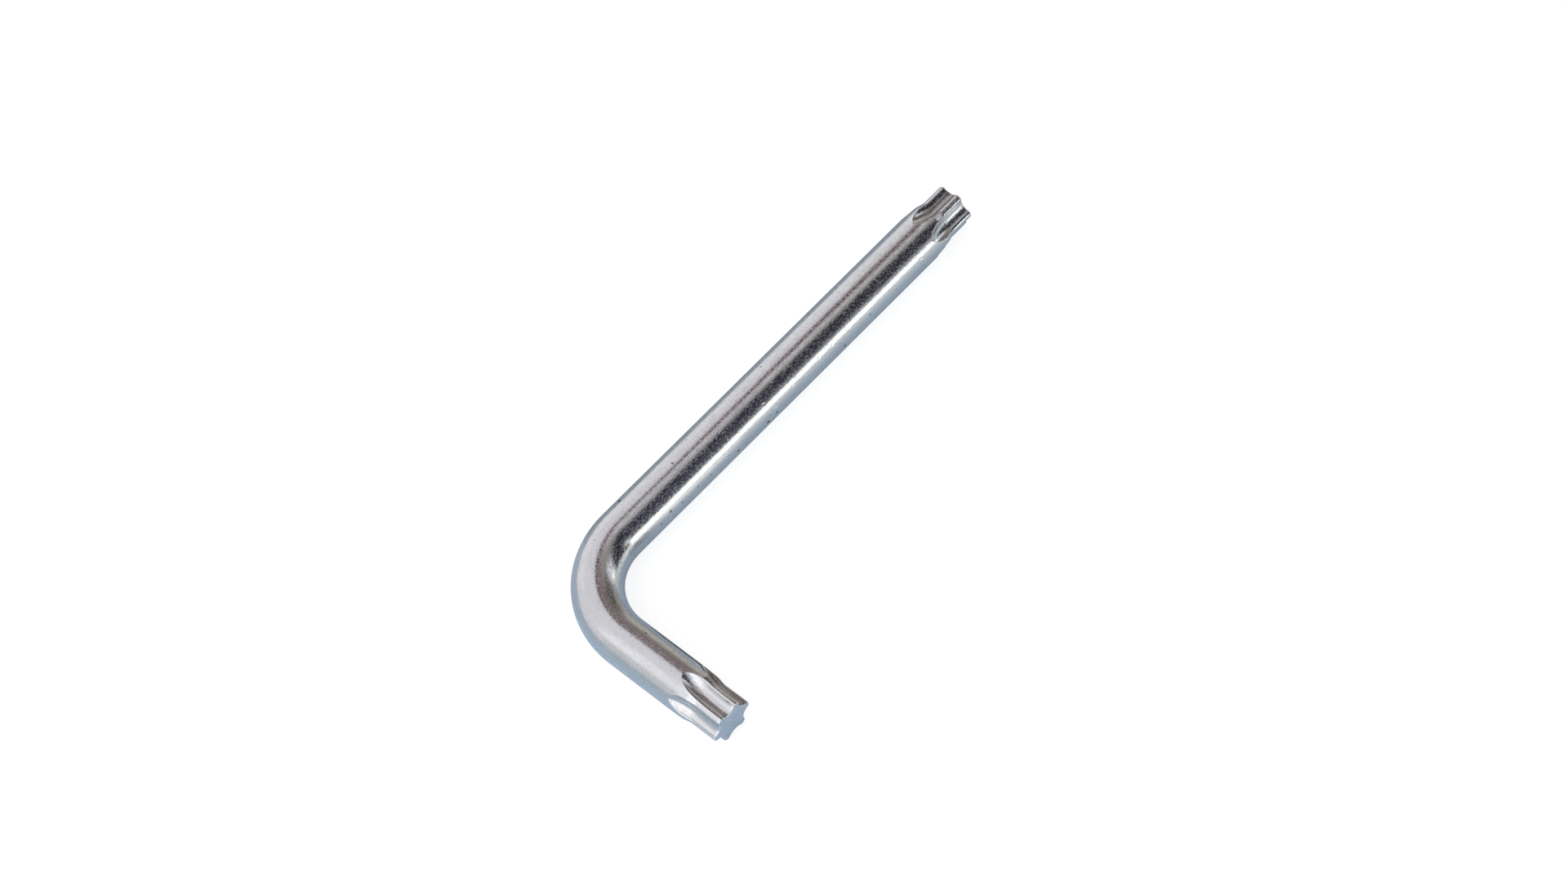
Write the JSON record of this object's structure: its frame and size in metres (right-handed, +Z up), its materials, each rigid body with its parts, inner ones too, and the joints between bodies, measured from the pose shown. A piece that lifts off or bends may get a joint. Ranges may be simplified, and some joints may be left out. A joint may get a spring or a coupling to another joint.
{
  "type": "star-drive key",
  "caption": "L-shaped key of plated round steel bar, with a fluted six-lobe star tip on each end.",
  "frame": {"origin": "bottom centre of the bounding box, on the surface the key lies on", "axes": "+X along the short arm to its tip, +Y along the long arm to its tip, +Z up, square to the plane of the L"},
  "size_m": [0.0284, 0.0696, 0.006],
  "materials": {
    "plated_steel": "bright zinc plate over drawn steel, satin-bright with fine grain and small dark specks"
  },
  "bodies": {
    "root": {"star_key": "plated_steel"}
  },
  "joints": []
}
